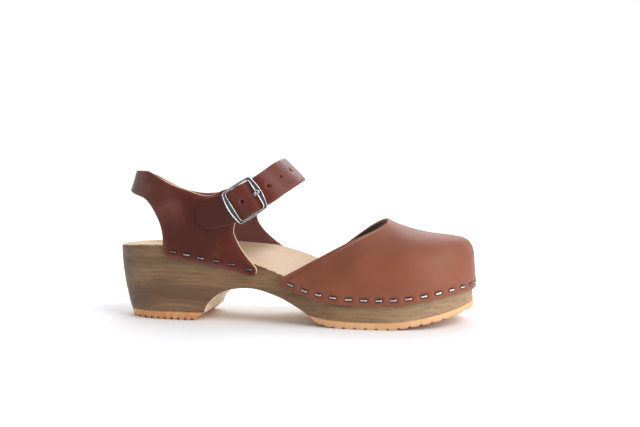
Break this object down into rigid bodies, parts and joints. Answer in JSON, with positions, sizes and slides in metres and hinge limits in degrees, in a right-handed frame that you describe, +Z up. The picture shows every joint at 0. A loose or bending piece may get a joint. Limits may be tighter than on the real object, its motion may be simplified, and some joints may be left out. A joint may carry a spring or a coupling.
{
  "type": "clog",
  "caption": "Wooden-soled clog with a closed stapled leather toe, an open waist, a heel quarter with a back band, and a buckled ankle strap.",
  "frame": {"origin": "centre of the shoe's footprint, on the floor", "axes": "+X towards the toe, +Y towards the inner side of the foot, +Z up; it is a right shoe"},
  "size_m": [0.2538, 0.0989, 0.1126],
  "materials": {
    "wood": "stained, oiled alder with horizontal grain",
    "rubber": "moulded crepe-coloured rubber",
    "vamp_leather": "waxed pull-up leather, tan-brown",
    "lining": "suede flesh side, dark",
    "brown_leather": "waxed veg-tan leather, dark red-brown",
    "pewter": "antiqued pewter plating",
    "staple_wire": "bright wire"
  },
  "bodies": {
    "clog": {"wood_sole": "wood", "heel_tread": "rubber", "forefoot_tread": "rubber", "vamp": "vamp_leather", "vamp_lining": "lining", "heel_quarter": "brown_leather", "strap_anchor": "brown_leather", "strap_rivets": "pewter", "strap_rivet_caps": "pewter", "buckle_tab": "brown_leather", "tab_rivets": "pewter", "tab_rivet_caps": "pewter", "vamp_staples_lateral": "staple_wire", "vamp_staples_toe": "staple_wire", "vamp_staples_medial": "staple_wire", "quarter_staples_lateral": "staple_wire", "quarter_staples_medial": "staple_wire"},
    "strap": {"ankle_strap": "brown_leather", "strap_end": "brown_leather"},
    "buckle": {"buckle_frame": "pewter", "buckle_bar": "pewter"},
    "prong": {"buckle_prong": "pewter"}
  },
  "joints": [
    {"name": "strap_open", "type": "hinge", "parent": "clog", "child": "strap", "pos_m": [-0.0273, 0.03626, 0.09124], "axis": [-0.5614, 0.04, 0.8266], "range_deg": [0, 100], "deforming": ["strap_end"]},
    {"name": "frame_tilt", "type": "hinge", "parent": "clog", "child": "buckle", "pos_m": [-0.02822, -0.03647, 0.0839], "axis": [0.5358, 0, -0.8443], "range_deg": [0, 4]},
    {"name": "prong_lift", "type": "hinge", "parent": "buckle", "child": "prong", "pos_m": [-0.02822, -0.03647, 0.0839], "axis": [0.5358, 0, -0.8443], "range_deg": [0, 100]}
  ]
}
